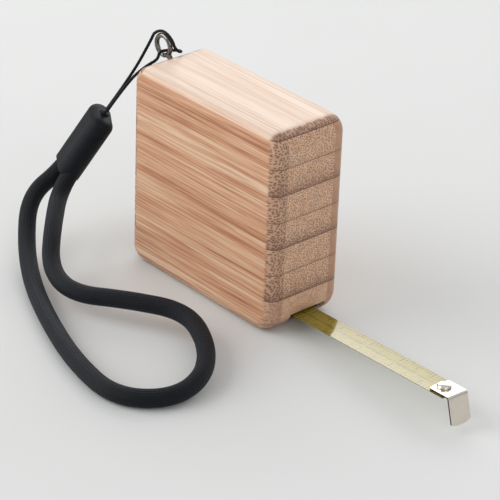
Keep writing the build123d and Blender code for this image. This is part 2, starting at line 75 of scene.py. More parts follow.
# ---- table and light ---------------------------------------------------------------------------
# A pale matt table top and three soft lamps: a wide one behind the case, which the glossy tape
# mirrors, one of the same power on the near left and a weak one on the near right.
def add(finish, kind, own=None, feed=(), **named):
    """Adds a shading node. own holds its settings; feed and named give its inputs a value or a socket."""
    made = finish.node_tree.nodes.new("ShaderNode" + kind)
    for key, value in (own or {}).items():
        setattr(made, key, value)
    inputs = list(enumerate(feed)) + [(k.replace("_", " "), v) for k, v in named.items()]
    for key, value in inputs:
        if isinstance(value, bpy.types.NodeSocket):
            finish.node_tree.links.new(value, made.inputs[key])
        elif value is not None:
            made.inputs[key].default_value = value
    return made


def calc(finish, operation, *values):
    """One sum on numbers, as a socket."""
    return add(finish, "Math", {"operation": operation}, values).outputs[0]


def ramp(finish, level, *stops):
    """A colour for each level, as a socket; each stop is (level, (red, green, blue))."""
    made = add(finish, "ValToRGB", feed=(level,))
    colours = made.color_ramp.elements
    while len(colours) < len(stops):
        colours.new(0.5)
    for colour, (place, rgb) in zip(colours, stops):
        colour.position = place
        colour.color = (*rgb, 1)
    return made.outputs[0]


def mix(finish, share, first, second, blend="MIX"):
    """Two colours mixed by share, as a socket."""
    own = {"data_type": "RGBA", "blend_type": blend}
    first, second = ((*c, 1) if isinstance(c, tuple) else c for c in (first, second))
    feed = (share, None, None, None, None, None, first, second)
    return add(finish, "Mix", own, feed).outputs[2]


def noise(finish, where, scale, detail, roughness=0.5):
    """A cloudy pattern, as a socket; scale is per metre."""
    own = {"Vector": where, "Scale": scale, "Detail": detail, "Roughness": roughness}
    return add(finish, "TexNoise", **own).outputs[0]


def smooth_step(finish, value, low, high, at_low=0.0, at_high=1.0):
    """A number eased from at_low to at_high while value goes from low to high, as a socket."""
    own = {"interpolation_type": "SMOOTHSTEP"}
    return add(finish, "MapRange", own, (value, low, high, at_low, at_high)).outputs[0]


def greys(finish, level, *stops):
    """A number for each level, as a socket; each stop is (level, number)."""
    return ramp(finish, level, *((place, (number,) * 3) for place, number in stops))


def new_finish(name, **sockets):
    """A material with its shader's own sockets set, and the shader node."""
    finish = bpy.data.materials.new(name)
    finish.use_nodes = True
    shader = finish.node_tree.nodes["Principled BSDF"]
    for key, value in sockets.items():
        shader.inputs[key.replace("_", " ")].default_value = value
    return finish, shader


def join(finish, socket, shader, name):
    finish.node_tree.links.new(socket, shader.inputs[name])


def roughen(finish, shader, height, depth, strength=1.0):
    """Bump of that depth in metres."""
    bump = add(finish, "Bump", Strength=strength, Distance=depth, Height=height)
    join(finish, bump.outputs[0], shader, "Normal")


table_paint, shader = new_finish("table_paint", Roughness=0.85, Specular_IOR_Level=0.2)
where = add(table_paint, "TexCoord").outputs["Object"]
cloudy = noise(table_paint, where, 9.0, 2.0)
join(table_paint, ramp(table_paint, cloudy, (0.3, (0.635, 0.64, 0.632)), (0.7, (0.655, 0.66, 0.652))),
     shader, "Base Color")
TABLE = 2.0
table_mesh = bpy.data.meshes.new("table")
table_mesh.from_pydata(
    [(-TABLE, -TABLE, 0), (TABLE, -TABLE, 0), (TABLE, TABLE, 0), (-TABLE, TABLE, 0)], [], [(0, 1, 2, 3)]
)
table = bpy.data.objects.new("table", table_mesh)
bpy.context.collection.objects.link(table)
table.data.materials.append(table_paint)

for name, place, width, height, power, colour in (
    ("lamp_behind", (-0.66, 0.95, 0.60), 1.8, 0.8, 11.5, (1.0, 0.99, 0.975)),
    ("lamp_near_left", (-0.72, -0.86, 0.62), 1.1, 1.1, 11.5, (1.0, 0.995, 0.985)),
    ("lamp_near_right", (1.05, -0.35, 0.55), 0.8, 0.8, 2.2, (1.0, 0.98, 0.96)),
):
    lamp = bpy.data.objects.new(name, bpy.data.lights.new(name, "AREA"))
    lamp.data.shape = "RECTANGLE"
    lamp.data.size = width
    lamp.data.size_y = height
    lamp.data.energy = power
    lamp.data.color = colour
    lamp.location = place
    lamp.rotation_euler = (Vector(place) - LOOK_AT).to_track_quat("Z", "Y").to_euler()
    bpy.context.collection.objects.link(lamp)
room = bpy.data.worlds.new("room")
room.use_nodes = True
sky = add(room, "SeparateXYZ", feed=(add(room, "TexCoord").outputs["Generated"],))
room.node_tree.links.new(
    ramp(room, sky.outputs[2], (0.10, (0.18, 0.176, 0.17)), (0.32, (0.66, 0.67, 0.68))),
    room.node_tree.nodes["Background"].inputs["Color"],
)
bpy.context.scene.world = room
bpy.context.scene.view_settings.view_transform = "Standard"


# ---- wrist rope --------------------------------------------------------------------------------
# A soft round rope with a knitted polyester sleeve, 4.3 mm thick. Both ends are moulded into the
# cap, and the loop lies on the table.
def smooth_route(name, points, diameter):
    """A cord's curve, smooth through its bends."""
    curve = bpy.data.curves.new(name, "CURVE")
    curve.dimensions = "3D"
    spline = curve.splines.new("NURBS")
    spline.points.add(len(points) - 1)
    for point, place in zip(spline.points, points):
        point.co = (*(Vector(place) * MM), 1)
    spline.order_u = 3
    spline.use_endpoint_u = True
    spline.resolution_u = 24
    curve.bevel_depth = diameter / 2
    curve.bevel_resolution = 8
    curve.use_fill_caps = True
    made = bpy.data.objects.new(name, curve)
    bpy.context.collection.objects.link(made)
    return made


def read_route(curve_object):
    """The points of a route's centreline."""
    depth = curve_object.data.bevel_depth
    caps = curve_object.data.use_fill_caps
    curve_object.data.bevel_depth = 0
    curve_object.data.use_fill_caps = False
    bpy.context.view_layer.update()
    shaped = curve_object.evaluated_get(bpy.context.evaluated_depsgraph_get())
    line = bpy.data.meshes.new_from_object(shaped)
    places = [v.co.copy() for v in line.vertices]
    curve_object.data.bevel_depth = depth
    curve_object.data.use_fill_caps = caps
    return places


def even_steps(places, step):
    """Points along a line, about a step apart."""
    along = [0.0]
    for a, b in zip(places, places[1:]):
        along.append(along[-1] + (b - a).length)
    count = round(along[-1] / step)
    even, k = [], 0
    for i in range(count + 1):
        reach = along[-1] * i / count
        while k < len(places) - 2 and along[k + 1] < reach:
            k += 1
        share = (reach - along[k]) / max(along[k + 1] - along[k], 1e-12)
        even.append(places[k].lerp(places[k + 1], share))
    return even


def sleeve(name, places, around, surface):
    """A closed tube along places. surface(distance, turn) gives its radius; UV is (distance, turn)."""
    verts, faces, uvs = [], [], []
    side = None
    distance = 0.0
    reaches = []
    for i, place in enumerate(places):
        ahead = (places[min(i + 1, len(places) - 1)] - places[max(i - 1, 0)]).normalized()
        if side is None:
            side = ahead.orthogonal().normalized()
        side = (side - ahead * side.dot(ahead)).normalized()
        over = ahead.cross(side)
        distance += (place - places[i - 1]).length if i else 0
        reaches.append(distance)
        for k in range(around):
            angle = 2 * pi * k / around
            radius = surface(distance, k / around)
            verts.append(place + (side * cos(angle) + over * sin(angle)) * radius)
    for i in range(len(places) - 1):
        for k in range(around):
            n = (k + 1) % around
            faces.append((i * around + k, i * around + n, (i + 1) * around + n, (i + 1) * around + k))
            uvs += [(reaches[i], k / around), (reaches[i], (k + 1) / around),
                    (reaches[i + 1], (k + 1) / around), (reaches[i + 1], k / around)]
    last = len(verts) - around
    faces.append(tuple(range(around))[::-1])
    faces.append(tuple(range(last, last + around)))
    uvs += [(0, 0)] * (2 * around)
    mesh = bpy.data.meshes.new(name)
    mesh.from_pydata(verts, [], faces)
    layer = mesh.uv_layers.new(name="along_and_round")
    for loop, uv in zip(layer.data, uvs):
        loop.uv = uv
    for face in mesh.polygons:
        face.use_smooth = True
    made = bpy.data.objects.new(name, mesh)
    bpy.context.collection.objects.link(made)
    return made


ROPE_D = 4.3 * MM
rope_route = [
    (-42.99, -10.56, 23.53), (-47.0, -14.0, 15.5), (-47.5, -23.5, 11.0), (-37.5, -32.0, 4.5),
    (-25.0, -39.5, 2.2), (-8.5, -47.0, 2.2), (8.5, -53.0, 2.2), (25.0, -55.5, 2.2),
    (33.5, -46.5, 2.2), (32.0, -36.0, 2.9), (23.5, -27.5, 4.0), (11.0, -23.0, 5.5),
    (-1.0, -31.0, 6.0), (-12.0, -38.0, 5.0), (-23.0, -36.0, 6.0), (-31.0, -29.0, 11.5),
    (-44.0, -16.5, 13.5), (-39.38, -12.84, 22.69),
]
ROPE_WALES = 18           # knitted columns round the rope
STITCH = 0.62 * MM
STITCH_DEPTH = 0.18 * MM
ROPE_STEP = 0.20 * MM      # between the sleeve's rings


def knit(distance, turn):
    """Radius of the rope's sleeve: rounded columns of slanting stitches."""
    column = (turn * ROPE_WALES) % 1
    row = distance / STITCH + abs(column - 0.5)
    swell = sqrt(max(sin(pi * column), 0)) * (0.72 + 0.28 * cos(2 * pi * row))
    return ROPE_D / 2 - STITCH_DEPTH * (1 - swell)


def yarn(name, dark, light, rows, columns, row_depth, gloss=0.10):
    """Black knitted yarn: stitches from the tube's own length and turn, with a faint bluish sheen; the colour
    is painted shade and highlight, near black in the stitch grooves and lighter on the crowns.
    """
    finish, shader = new_finish(name, Roughness=0.5, Sheen_Weight=gloss, Sheen_Roughness=0.45,
                                Sheen_Tint=(0.55, 0.62, 0.78, 1), Specular_IOR_Level=0.18)
    place = add(finish, "SeparateXYZ", feed=(add(finish, "TexCoord").outputs["UV"],))
    across = calc(finish, "MULTIPLY", place.outputs[1], columns)
    column = calc(finish, "FRACT", across)
    slant = calc(finish, "ABSOLUTE", calc(finish, "SUBTRACT", column, 0.5))
    row = calc(finish, "ADD", calc(finish, "MULTIPLY", place.outputs[0], rows), slant)
    wave = calc(finish, "SINE", calc(finish, "MULTIPLY", row, 2 * pi))
    ridge = calc(finish, "SINE", calc(finish, "MULTIPLY", column, pi))
    stitch = calc(finish, "MULTIPLY", ridge, calc(finish, "MULTIPLY_ADD", wave, 0.35, 0.65))
    solid = add(finish, "TexCoord").outputs["Object"]
    fuzz = noise(finish, solid, 5200.0, 3.0, 0.7)
    patch = noise(finish, solid, 140.0, 2.0)
    level = calc(finish, "ADD", calc(finish, "MULTIPLY", stitch, 0.6), calc(finish, "MULTIPLY", fuzz, 0.4))
    # painted shade and highlight: darker where the stitches sink, lighter on their crowns
    shade = ramp(finish, level, (0.2, dark), (0.85, light))
    worn = ramp(finish, patch, (0.35, (0.8, 0.8, 0.8)), (0.7, (1.25, 1.25, 1.3)))
    join(finish, mix(finish, 1.0, shade, worn, "MULTIPLY"), shader, "Base Color")
    roughen(finish, shader, level, row_depth)
    return finish


rope_yarn = yarn("rope_yarn", (0.0005, 0.0007, 0.001), (0.011, 0.013, 0.019), 1 / (0.40 * MM),
                 2 * ROPE_WALES, 0.12 * MM)
rope_line = smooth_route("rope_line", rope_route, ROPE_D)
rope_places = even_steps(read_route(rope_line), ROPE_STEP)
bpy.data.objects.remove(rope_line)
rope = sleeve("wrist_rope_knit", rope_places, 3 * ROPE_WALES, knit)
rope.data.materials.append(rope_yarn)
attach(rope, "case")
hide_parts("wrist_rope")


# ---- thin cord ---------------------------------------------------------------------------------
# A twisted black nylon cord, 0.75 mm thick: it leaves the knot, goes round the screw eye's ring
# and through it, and comes back to the knot beside itself.
CORD_D = 0.75 * MM
cord_route = [
    (-37.21, -8.23, 33.33), (-32.2, -4.8, 43.0), (-29.9, -0.9, 51.9), (-29.4, -0.4, 53.9),
    (-26.5, -0.1, 55.3), (-23.6, 0.1, 53.9), (-22.8, 0.3, 51.9), (-22.3, 1.4, 50.8),
    (-23.1, 2.7, 50.5), (-24.8, 1.9, 50.3), (-26.0, 0.4, 50.3), (-26.7, -1.1, 50.0),
    (-26.1, -2.0, 48.5), (-27.3, -4.3, 47.2), (-32.2, -5.6, 42.0), (-36.51, -8.68, 33.17),
]
CORD_PLIES = 3
CORD_LAY = 2.6 * MM       # length of one twist
CORD_GROOVE = 0.05 * MM
CORD_STEP = 0.10 * MM


def twisted(distance, turn):
    """Radius of a twisted cord, with grooves between its plies."""
    phase = (turn + distance / CORD_LAY) * CORD_PLIES
    return CORD_D / 2 - CORD_GROOVE * (1 - abs(cos(pi * phase)))


cord_yarn = yarn("cord_yarn", (0.001, 0.0012, 0.0016), (0.007, 0.0075, 0.009), 1 / (0.28 * MM), 8,
                 0.04 * MM)
cord_line = smooth_route("cord_line", cord_route, CORD_D)
cord_places = even_steps(read_route(cord_line), CORD_STEP)
bpy.data.objects.remove(cord_line)
cord = sleeve("strap_cord_twist", cord_places, 18, twisted)
cord.data.materials.append(cord_yarn)
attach(cord, "case")
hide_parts("strap_cord")

# ---- knot --------------------------------------------------------------------------------------
# The thin cord's stop knot: three turns of the same cord drawn tight into a small cone, half
# sunk in the top of the cap.
CAP_TOP = Vector((-37.3, -8.8, 32.3)) * MM
CAP_AXIS = (CAP_TOP - Vector((-44.4, -14.4, 17.0)) * MM).normalized()
CAP_WIDE = Vector((0.829, -0.525, -0.194))
CAP_WIDE = (CAP_WIDE - CAP_AXIS * CAP_WIDE.dot(CAP_AXIS)).normalized()
CAP_DEEP = CAP_AXIS.cross(CAP_WIDE)
KNOT_WRAPS = 3
KNOT_STEPS = 48 * KNOT_WRAPS
KNOT_CORD_R = 0.42 * MM
knot_places = []
for i in range(KNOT_STEPS + 1):
    share = i / KNOT_STEPS
    angle = 2 * pi * KNOT_WRAPS * share
    reach = (0.66 - 0.24 * share) * MM
    height = (-0.65 + 1.25 * share) * MM
    knot_places.append(
        CAP_TOP + CAP_AXIS * height + (CAP_WIDE * cos(angle) + CAP_DEEP * sin(angle)) * reach
    )
knot = sleeve("cord_knot_wraps", knot_places, 14, lambda distance, turn: KNOT_CORD_R)
knot.data.materials.append(cord_yarn)
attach(knot, "case")
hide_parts("cord_knot")

# ---- cap ---------------------------------------------------------------------------------------
# The cap that joins the two cords: moulded in matt black thermoplastic, with a fine spark-eroded
# grain.
cap_plastic, shader = new_finish("cap_plastic", Roughness=0.5, Specular_IOR_Level=0.16)
where = add(cap_plastic, "TexCoord").outputs["Object"]
grain = noise(cap_plastic, where, 6500.0, 3.0, 0.6)
blotch = noise(cap_plastic, where, 260.0, 3.0)
join(cap_plastic, ramp(cap_plastic, blotch, (0.3, (0.003, 0.004, 0.006)), (0.75, (0.007, 0.009, 0.013))),
     shader, "Base Color")
join(cap_plastic, greys(cap_plastic, grain, (0.3, 0.46), (0.7, 0.62)),
     shader, "Roughness")
roughen(cap_plastic, shader, grain, 0.02 * MM)


def give(names, finish):
    """Puts one finish on CAD nodes."""
    for name in names:
        mesh = cad[name].data
        mesh.materials.clear()
        mesh.materials.append(finish)


give(["strap_cap"], cap_plastic)


# ---- bamboo case -------------------------------------------------------------------------------
# Three layers of caramel coloured bamboo board glued face to face, with the fibres along X. The
# board is built of strips 6.6 mm tall, so the end face shows the fibre bundles as dots.
STRIP = 6.6 * MM
STRIP_START = 9.1 * MM
FIBRE_STRETCH = 0.018     # how slowly the grain changes along the fibres
STRIP_SHIFT = 0.37        # how far the grain jumps from one strip to the next
DOT_BLUR = 0.10           # half the width of a fibre bundle's soft edge
LAYER_JOINT = 7.0 * MM    # the glue lines between the layers


def bamboo(name, shift, dot_pitch, dot_size, end_light, end_dark):
    """Carbonised bamboo for one board, with its own piece of grain and its own size of fibre bundle."""
    finish, shader = new_finish(name, Roughness=0.5, Specular_IOR_Level=0.4, Coat_Weight=0.1,
                                Coat_Roughness=0.35)
    place = add(finish, "SeparateXYZ", feed=(add(finish, "TexCoord").outputs["Object"],))
    x, y, z = place.outputs
    strips = calc(finish, "DIVIDE", calc(finish, "SUBTRACT", z, STRIP_START), STRIP)
    strip = calc(finish, "FLOOR", strips)
    in_strip = calc(finish, "FRACT", strips)
    # the grain: stretched along X, with each strip cut from another piece of the stem
    along = calc(finish, "MULTIPLY_ADD", x, FIBRE_STRETCH, calc(finish, "MULTIPLY", strip, STRIP_SHIFT))
    grain = add(finish, "CombineXYZ", X=calc(finish, "ADD", along, shift), Y=y, Z=z).outputs[0]
    sway = add(finish, "TexNoise", Vector=grain, Scale=60.0, Detail=1.0).outputs[1]
    bend = {"operation": "MULTIPLY_ADD"}
    bent = add(finish, "VectorMath", bend, (sway, (0, 0.002, 0.0035), grain)).outputs[0]
    band = noise(finish, bent, 330.0, 2.0, 0.5)
    streak = noise(finish, bent, 1700.0, 3.0, 0.65)
    fibre = noise(finish, bent, 5200.0, 2.0, 0.6)
    level = calc(finish, "ADD", calc(finish, "MULTIPLY", band, 0.36), calc(finish, "MULTIPLY", streak, 0.58))
    level = calc(finish, "ADD", level, calc(finish, "MULTIPLY", fibre, 0.12))
    long_face = ramp(finish, level, (0.41, (0.33, 0.135, 0.062)), (0.48, (0.52, 0.255, 0.140)),
                     (0.55, (0.60, 0.345, 0.210)), (0.63, (0.70, 0.485, 0.325)))
    # darker, sharper bundles that run a long way
    vein = noise(finish, bent, 2600.0, 1.0)
    vein = smooth_step(finish, vein, 0.58, 0.66, 0.0, 0.65)
    long_face = mix(finish, vein, long_face, (0.36, 0.135, 0.060))
    # faces that look up or down are painted a paler, greyer tone: painted sheen standing in for the gloss the
    # lamp behind puts on the top
    facing = add(finish, "SeparateXYZ", feed=(add(finish, "NewGeometry").outputs["Normal"],))
    upward = smooth_step(finish, calc(finish, "ABSOLUTE", facing.outputs[2]), 0.45, 0.90)
    painted_top_sheen = ramp(finish, level, (0.40, (0.58, 0.395, 0.285)), (0.60, (0.72, 0.565, 0.455)))
    long_face = mix(finish, upward, long_face, painted_top_sheen)
    # fibre bundles: dots on the end face, larger where the stem's outer side was
    cut = add(finish, "CombineXYZ", X=calc(finish, "ADD", y, shift), Y=z).outputs[0]
    bundle = add(finish, "TexVoronoi", {"voronoi_dimensions": "2D"}, Vector=cut, Scale=1 / dot_pitch,
                 Randomness=0.85).outputs[0]
    dense = calc(finish, "SUBTRACT", 1.0, calc(finish, "FRACT", calc(finish, "MULTIPLY", strips, 0.5)))
    size = calc(finish, "MULTIPLY_ADD", calc(finish, "POWER", dense, 6.0), 0.16, dot_size)
    inside, outside = calc(finish, "SUBTRACT", size, DOT_BLUR), calc(finish, "ADD", size, DOT_BLUR)
    dot = smooth_step(finish, bundle, inside, outside, 1.0, 0.0)
    mottle = noise(finish, grain, 700.0, 2.0)
    ground = ramp(finish, mottle, (0.3, end_dark), (0.7, end_light))
    lowest = calc(finish, "LESS_THAN", strips, 0.0)
    shade = calc(finish, "MULTIPLY", calc(finish, "POWER", dense, 9.0), calc(finish, "SUBTRACT", 1.0, lowest))
    ground = mix(finish, calc(finish, "MULTIPLY", shade, 0.75), ground, (0.27, 0.135, 0.085))
    inked = calc(finish, "MULTIPLY", dot, calc(finish, "MULTIPLY_ADD", lowest, -0.35, 0.72))
    end_face = mix(finish, inked, ground, (0.125, 0.058, 0.038))
    rim = calc(finish, "POWER", calc(finish, "SUBTRACT", 1.0, in_strip), 14.0)
    end_face = mix(finish, calc(finish, "MULTIPLY", rim, 0.45), end_face, (0.20, 0.095, 0.06))
    seam = calc(finish, "COMPARE", in_strip, 0.0, 0.024)
    end_face = mix(finish, calc(finish, "MULTIPLY", seam, 0.75), end_face, (0.10, 0.045, 0.03))
    endward = smooth_step(finish, calc(finish, "ABSOLUTE", facing.outputs[0]), 0.14, 0.40)
    wood = mix(finish, endward, long_face, end_face)
    glue = calc(finish, "COMPARE", calc(finish, "ABSOLUTE", y), LAYER_JOINT, 0.09 * MM)
    wood = mix(finish, calc(finish, "MULTIPLY", glue, 0.35), wood, (0.24, 0.12, 0.07))
    join(finish, wood, shader, "Base Color")
    matt = greys(finish, level, (0.35, 0.58), (0.62, 0.44))
    join(finish, matt, shader, "Roughness")
    height = calc(finish, "SUBTRACT", calc(finish, "MULTIPLY", level, 0.8),
                  calc(finish, "MULTIPLY", calc(finish, "MULTIPLY", dot, endward), 0.5))
    roughen(finish, shader, height, 0.05 * MM, 0.7)
    return finish


give(["front_cover"],
     bamboo("bamboo_front", 0.0, 0.60 * MM, 0.34, (0.62, 0.38, 0.25), (0.48, 0.28, 0.18)))
give(["case_frame"],
     bamboo("bamboo_middle", 3.1, 0.50 * MM, 0.28, (0.76, 0.48, 0.315), (0.61, 0.365, 0.235)))
give(["back_cover"],
     bamboo("bamboo_back", 6.7, 0.50 * MM, 0.12, (0.55, 0.31, 0.20), (0.46, 0.25, 0.155)))

# ---- dowels ------------------------------------------------------------------------------------
# Four small birch pegs that keep the covers in line while the glue sets.
birch, shader = new_finish("birch", Roughness=0.6)
where = add(birch, "TexCoord").outputs["Object"]
where = add(birch, "Mapping", Vector=where, Scale=(1, 0.05, 1)).outputs[0]
ring = noise(birch, where, 2400.0, 3.0)
join(birch, ramp(birch, ring, (0.3, (0.45, 0.31, 0.19)), (0.7, (0.62, 0.47, 0.31))), shader, "Base Color")
roughen(birch, shader, ring, 0.03 * MM)
give(["cover_dowels"], birch)


# ---- cartridge ---------------------------------------------------------------------------------
# The tape's own box inside the bamboo: tray, lid and thrust washers moulded in natural ABS, the
# reel in grey, and a slippery black liner glued inside the mouth's lower lip.
def moulded(name, dark, light, gloss):
    finish, shader = new_finish(name, Roughness=gloss)
    where = add(finish, "TexCoord").outputs["Object"]
    cloud = noise(finish, where, 180.0, 3.0)
    fine = noise(finish, where, 5000.0, 2.0)
    join(finish, ramp(finish, cloud, (0.3, dark), (0.7, light)), shader, "Base Color")
    roughen(finish, shader, fine, 0.01 * MM)
    return finish


give(["cartridge_tray", "cartridge_lid", "reel_washer_front", "reel_washer_back"],
     moulded("natural_abs", (0.70, 0.69, 0.65), (0.78, 0.77, 0.74), 0.45))
give(["reel_drum", "reel_flange"], moulded("grey_abs", (0.09, 0.095, 0.10), (0.13, 0.135, 0.145), 0.4))
give(["mouth_liner"], moulded("black_acetal", (0.010, 0.010, 0.010), (0.018, 0.018, 0.019), 0.5))

# ---- felt wiper --------------------------------------------------------------------------------
# A strip of black felt glued under the mouth's upper lip, which brushes the tape as it goes in.
felt, shader = new_finish("felt", Roughness=0.95, Sheen_Weight=0.5)
where = add(felt, "TexCoord").outputs["Object"]
hair = noise(felt, where, 4200.0, 5.0, 0.75)
join(felt, ramp(felt, hair, (0.3, (0.006, 0.006, 0.007)), (0.75, (0.035, 0.034, 0.033))),
     shader, "Base Color")
roughen(felt, shader, hair, 0.06 * MM)
give(["felt_wiper"], felt)


# ---- steel parts inside ------------------------------------------------------------------------
# Arbor, screws and pin are turned and zinc plated; the power spring is blued strip steel.
def steel(name, dark, light, rough_low, rough_high):
    finish, shader = new_finish(name, Metallic=1.0)
    where = add(finish, "TexCoord").outputs["Object"]
    brushed = add(finish, "Mapping", Vector=where, Scale=(1, 12, 1)).outputs[0]
    line = noise(finish, brushed, 1500.0, 4.0)
    join(finish, ramp(finish, line, (0.3, dark), (0.7, light)), shader, "Base Color")
    grey = greys(finish, line, (0.3, rough_low), (0.7, rough_high))
    join(finish, grey, shader, "Roughness")
    roughen(finish, shader, line, 0.004 * MM)
    return finish


give(["centre_post", "cartridge_screws", "spring_pin"],
     steel("zinc_plate", (0.50, 0.50, 0.50), (0.66, 0.66, 0.65), 0.28, 0.42))
give(["power_spring"], steel("blued_strip", (0.14, 0.16, 0.22), (0.26, 0.28, 0.34), 0.22, 0.34))

# ---- tape --------------------------------------------------------------------------------------
# Thin curved spring steel with a glossy yellow lacquer, printed in black: marks every millimetre
# from both edges, longer ones at 5 and 10, and a double line down the middle.
RISE, LEAN = radians(4.0), radians(-3.0)
MOUTH = Vector((25.0, 0.0, 3.6)) * MM
along = Vector((cos(RISE) * cos(LEAN), cos(RISE) * sin(LEAN), sin(RISE)))
across = Vector((-sin(LEAN), cos(LEAN), 0))
over = along.cross(across)
HOOK_FRONT = 51.5 * MM
TAPE_W, TAPE_T, TAPE_SAG = 6.35 * MM, 0.15 * MM, 0.12 * MM
TAPE_SHORT = 1.4 * MM     # from the tape's end to the hook's front
TAPE_IN, TAPE_OUT = 4.0 * MM, HOOK_FRONT - TAPE_SHORT
CREASE = radians(35)      # a sharper edge than this is shaded as an edge


def on_tape(s, t, n):
    """A point s out from the mouth, t across and n above the tape's edges."""
    return MOUTH + along * s + across * t + over * n


def tape_paint(name, out, side, zero):
    """Lacquer and printed marks. out and side are unit vectors of the tape's length and width."""
    finish, shader = new_finish(name, Metallic=0.15, Specular_IOR_Level=0.1, Coat_Weight=1.0,
                                Coat_Roughness=0.03, Coat_IOR=1.5)
    where = add(finish, "TexCoord").outputs["Object"]
    near = add(finish, "VectorMath", {"operation": "SUBTRACT"}, (where, tuple(zero))).outputs[0]
    s = add(finish, "VectorMath", {"operation": "DOT_PRODUCT"}, (near, tuple(out))).outputs["Value"]
    t = add(finish, "VectorMath", {"operation": "DOT_PRODUCT"}, (near, tuple(side))).outputs["Value"]
    t = calc(finish, "ABSOLUTE", t)
    edge = calc(finish, "SUBTRACT", TAPE_W / 2, t)
    marks = None
    for pitch, reach, half in ((1.0, 1.15, 0.075), (5.0, 1.7, 0.09), (10.0, 2.35, 0.11)):
        wrapped = calc(finish, "WRAP", s, pitch / 2 * MM, -pitch / 2 * MM)
        line = calc(finish, "COMPARE", wrapped, 0.0, half * MM)
        mark = calc(finish, "MULTIPLY", line, calc(finish, "LESS_THAN", edge, reach * MM))
        marks = mark if marks is None else calc(finish, "MAXIMUM", marks, mark)
    middle = calc(finish, "COMPARE", t, 0.16 * MM, 0.05 * MM)
    marks = calc(finish, "MAXIMUM", marks, middle)
    smear = noise(finish, where, 700.0, 3.0)
    streaks = add(finish, "Mapping", Vector=where, Scale=(0.15, 1, 1)).outputs[0]
    scuff = noise(finish, streaks, 1800.0, 4.0)
    # painted shade: the lacquer's yellow is set darker and more olive than the real yellow, standing in for
    # the shade the tape lies in near the case
    yellow_darkened_for_shade = ramp(finish, smear, (0.3, (0.19, 0.147, 0.008)), (0.7, (0.245, 0.196, 0.013)))
    ink = calc(finish, "MULTIPLY", marks, calc(finish, "MULTIPLY_ADD", scuff, 0.15, 0.85))
    join(finish, mix(finish, ink, yellow_darkened_for_shade, (0.012, 0.012, 0.010)), shader, "Base Color")
    grey = greys(finish, scuff, (0.3, 0.17), (0.75, 0.27))
    join(finish, grey, shader, "Roughness")
    roughen(finish, shader, scuff, 0.004 * MM, 0.5)
    return finish


lacquer = tape_paint("yellow_lacquer", along, across, on_tape(HOOK_FRONT, 0, 0))
give(["tape_coil", "tape_lead"], tape_paint("yellow_lacquer_wound", (1, 0, 0), (0, 1, 0), (0, 0, 0)))

TAPE_STEPS, TAPE_CROSS = 180, 14
verts, faces = [], []
for i in range(TAPE_STEPS + 1):
    s = -TAPE_IN + (TAPE_IN + TAPE_OUT) * i / TAPE_STEPS
    for layer in (0, 1):
        for k in range(TAPE_CROSS + 1):
            t = (2 * k / TAPE_CROSS - 1) * (-1 if layer else 1)
            verts.append(on_tape(s, t * TAPE_W / 2, -TAPE_SAG * (1 - t * t) - layer * TAPE_T))
ring_size = 2 * (TAPE_CROSS + 1)
for i in range(TAPE_STEPS):
    for k in range(ring_size):
        n = (k + 1) % ring_size
        faces.append((i * ring_size + k, i * ring_size + n, (i + 1) * ring_size + n, (i + 1) * ring_size + k))
for start, flip in ((0, 1), (TAPE_STEPS * ring_size, -1)):
    for k in range(TAPE_CROSS):
        low = ring_size - 1 - k
        faces.append(tuple(start + j for j in (k, low, low - 1, k + 1))[::flip])
tape_mesh = bpy.data.meshes.new("tape_blade_marked")
tape_mesh.from_pydata(verts, [], [f[::-1] for f in faces])
for face in tape_mesh.polygons:
    face.use_smooth = True
tape = bpy.data.objects.new("tape_blade_marked", tape_mesh)
bpy.context.collection.objects.link(tape)
tape_mesh.set_sharp_from_angle(angle=CREASE)
tape_mesh.materials.append(lacquer)
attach(tape, "blade")
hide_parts("tape_blade")
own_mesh(tape)

# ---- hook --------------------------------------------------------------------------------------
# A stamped and nickel plated steel hook: a tongue that lies on the tape and a lip bent down over
# its end, with a rounded foot. The rivet's hole is a slot, so the hook has end play.
PLATE_BACK = 45.1 * MM
HOOK_T = 0.4 * MM
HOOK_W, TONGUE_W = 5.6 * MM, 4.8 * MM
LIP = 6.3 * MM
LIP_FLARE = radians(12)
FOOT_BOW = 0.6 * MM
TAPER = 0.9 * MM
TONGUE_BOW = 0.35 * MM    # how far the tongue's corners lie ahead of its middle
FLUSH = 1e-9              # anything nearer than this to the plate's top is on it
BEND_R = 0.55 * MM        # outside radius of the bend
HOOK_LIFT = 0.05 * MM
nickel, shader = new_finish("nickel", Metallic=1.0, Coat_Weight=0.2, Coat_Roughness=0.08)
where = add(nickel, "TexCoord").outputs["Object"]
brushed = add(nickel, "Mapping", Vector=where, Scale=(0.35, 1, 0.12)).outputs[0]
line = noise(nickel, brushed, 5000.0, 2.0, 0.5)
spot = noise(nickel, where, 900.0, 3.0)
join(nickel, ramp(nickel, spot, (0.3, (0.70, 0.635, 0.555)), (0.7, (0.76, 0.70, 0.62))),
     shader, "Base Color")
join(nickel, greys(nickel, line, (0.3, 0.20), (0.7, 0.26)), shader, "Roughness")
roughen(nickel, shader, line, 0.0004 * MM, 0.2)

# The hook's cut edges get a near-black metal: a painted dark reflection, standing in for the dark
# surroundings these edges mirror.
hook_edge_dark_paint, shader = new_finish("hook_edge_painted_reflection", Metallic=1.0)
where = add(hook_edge_dark_paint, "TexCoord").outputs["Object"]
edge_mottle = noise(hook_edge_dark_paint, where, 3500.0, 3.0)
join(hook_edge_dark_paint, ramp(hook_edge_dark_paint, edge_mottle, (0.3, (0.045, 0.038, 0.032)), (0.7, (0.11, 0.10, 0.09))),
     shader, "Base Color")
join(hook_edge_dark_paint, greys(hook_edge_dark_paint, edge_mottle, (0.3, 0.40), (0.7, 0.55)), shader, "Roughness")
roughen(hook_edge_dark_paint, shader, edge_mottle, 0.01 * MM)

HOOK_ROWS, HOOK_COLUMNS = 64, 24
outer_top = HOOK_LIFT + HOOK_T
bend_angle = pi / 2 - LIP_FLARE
bend_reach = BEND_R * tan(bend_angle / 2)
flat = HOOK_FRONT - PLATE_BACK - bend_reach
arc = BEND_R * bend_angle


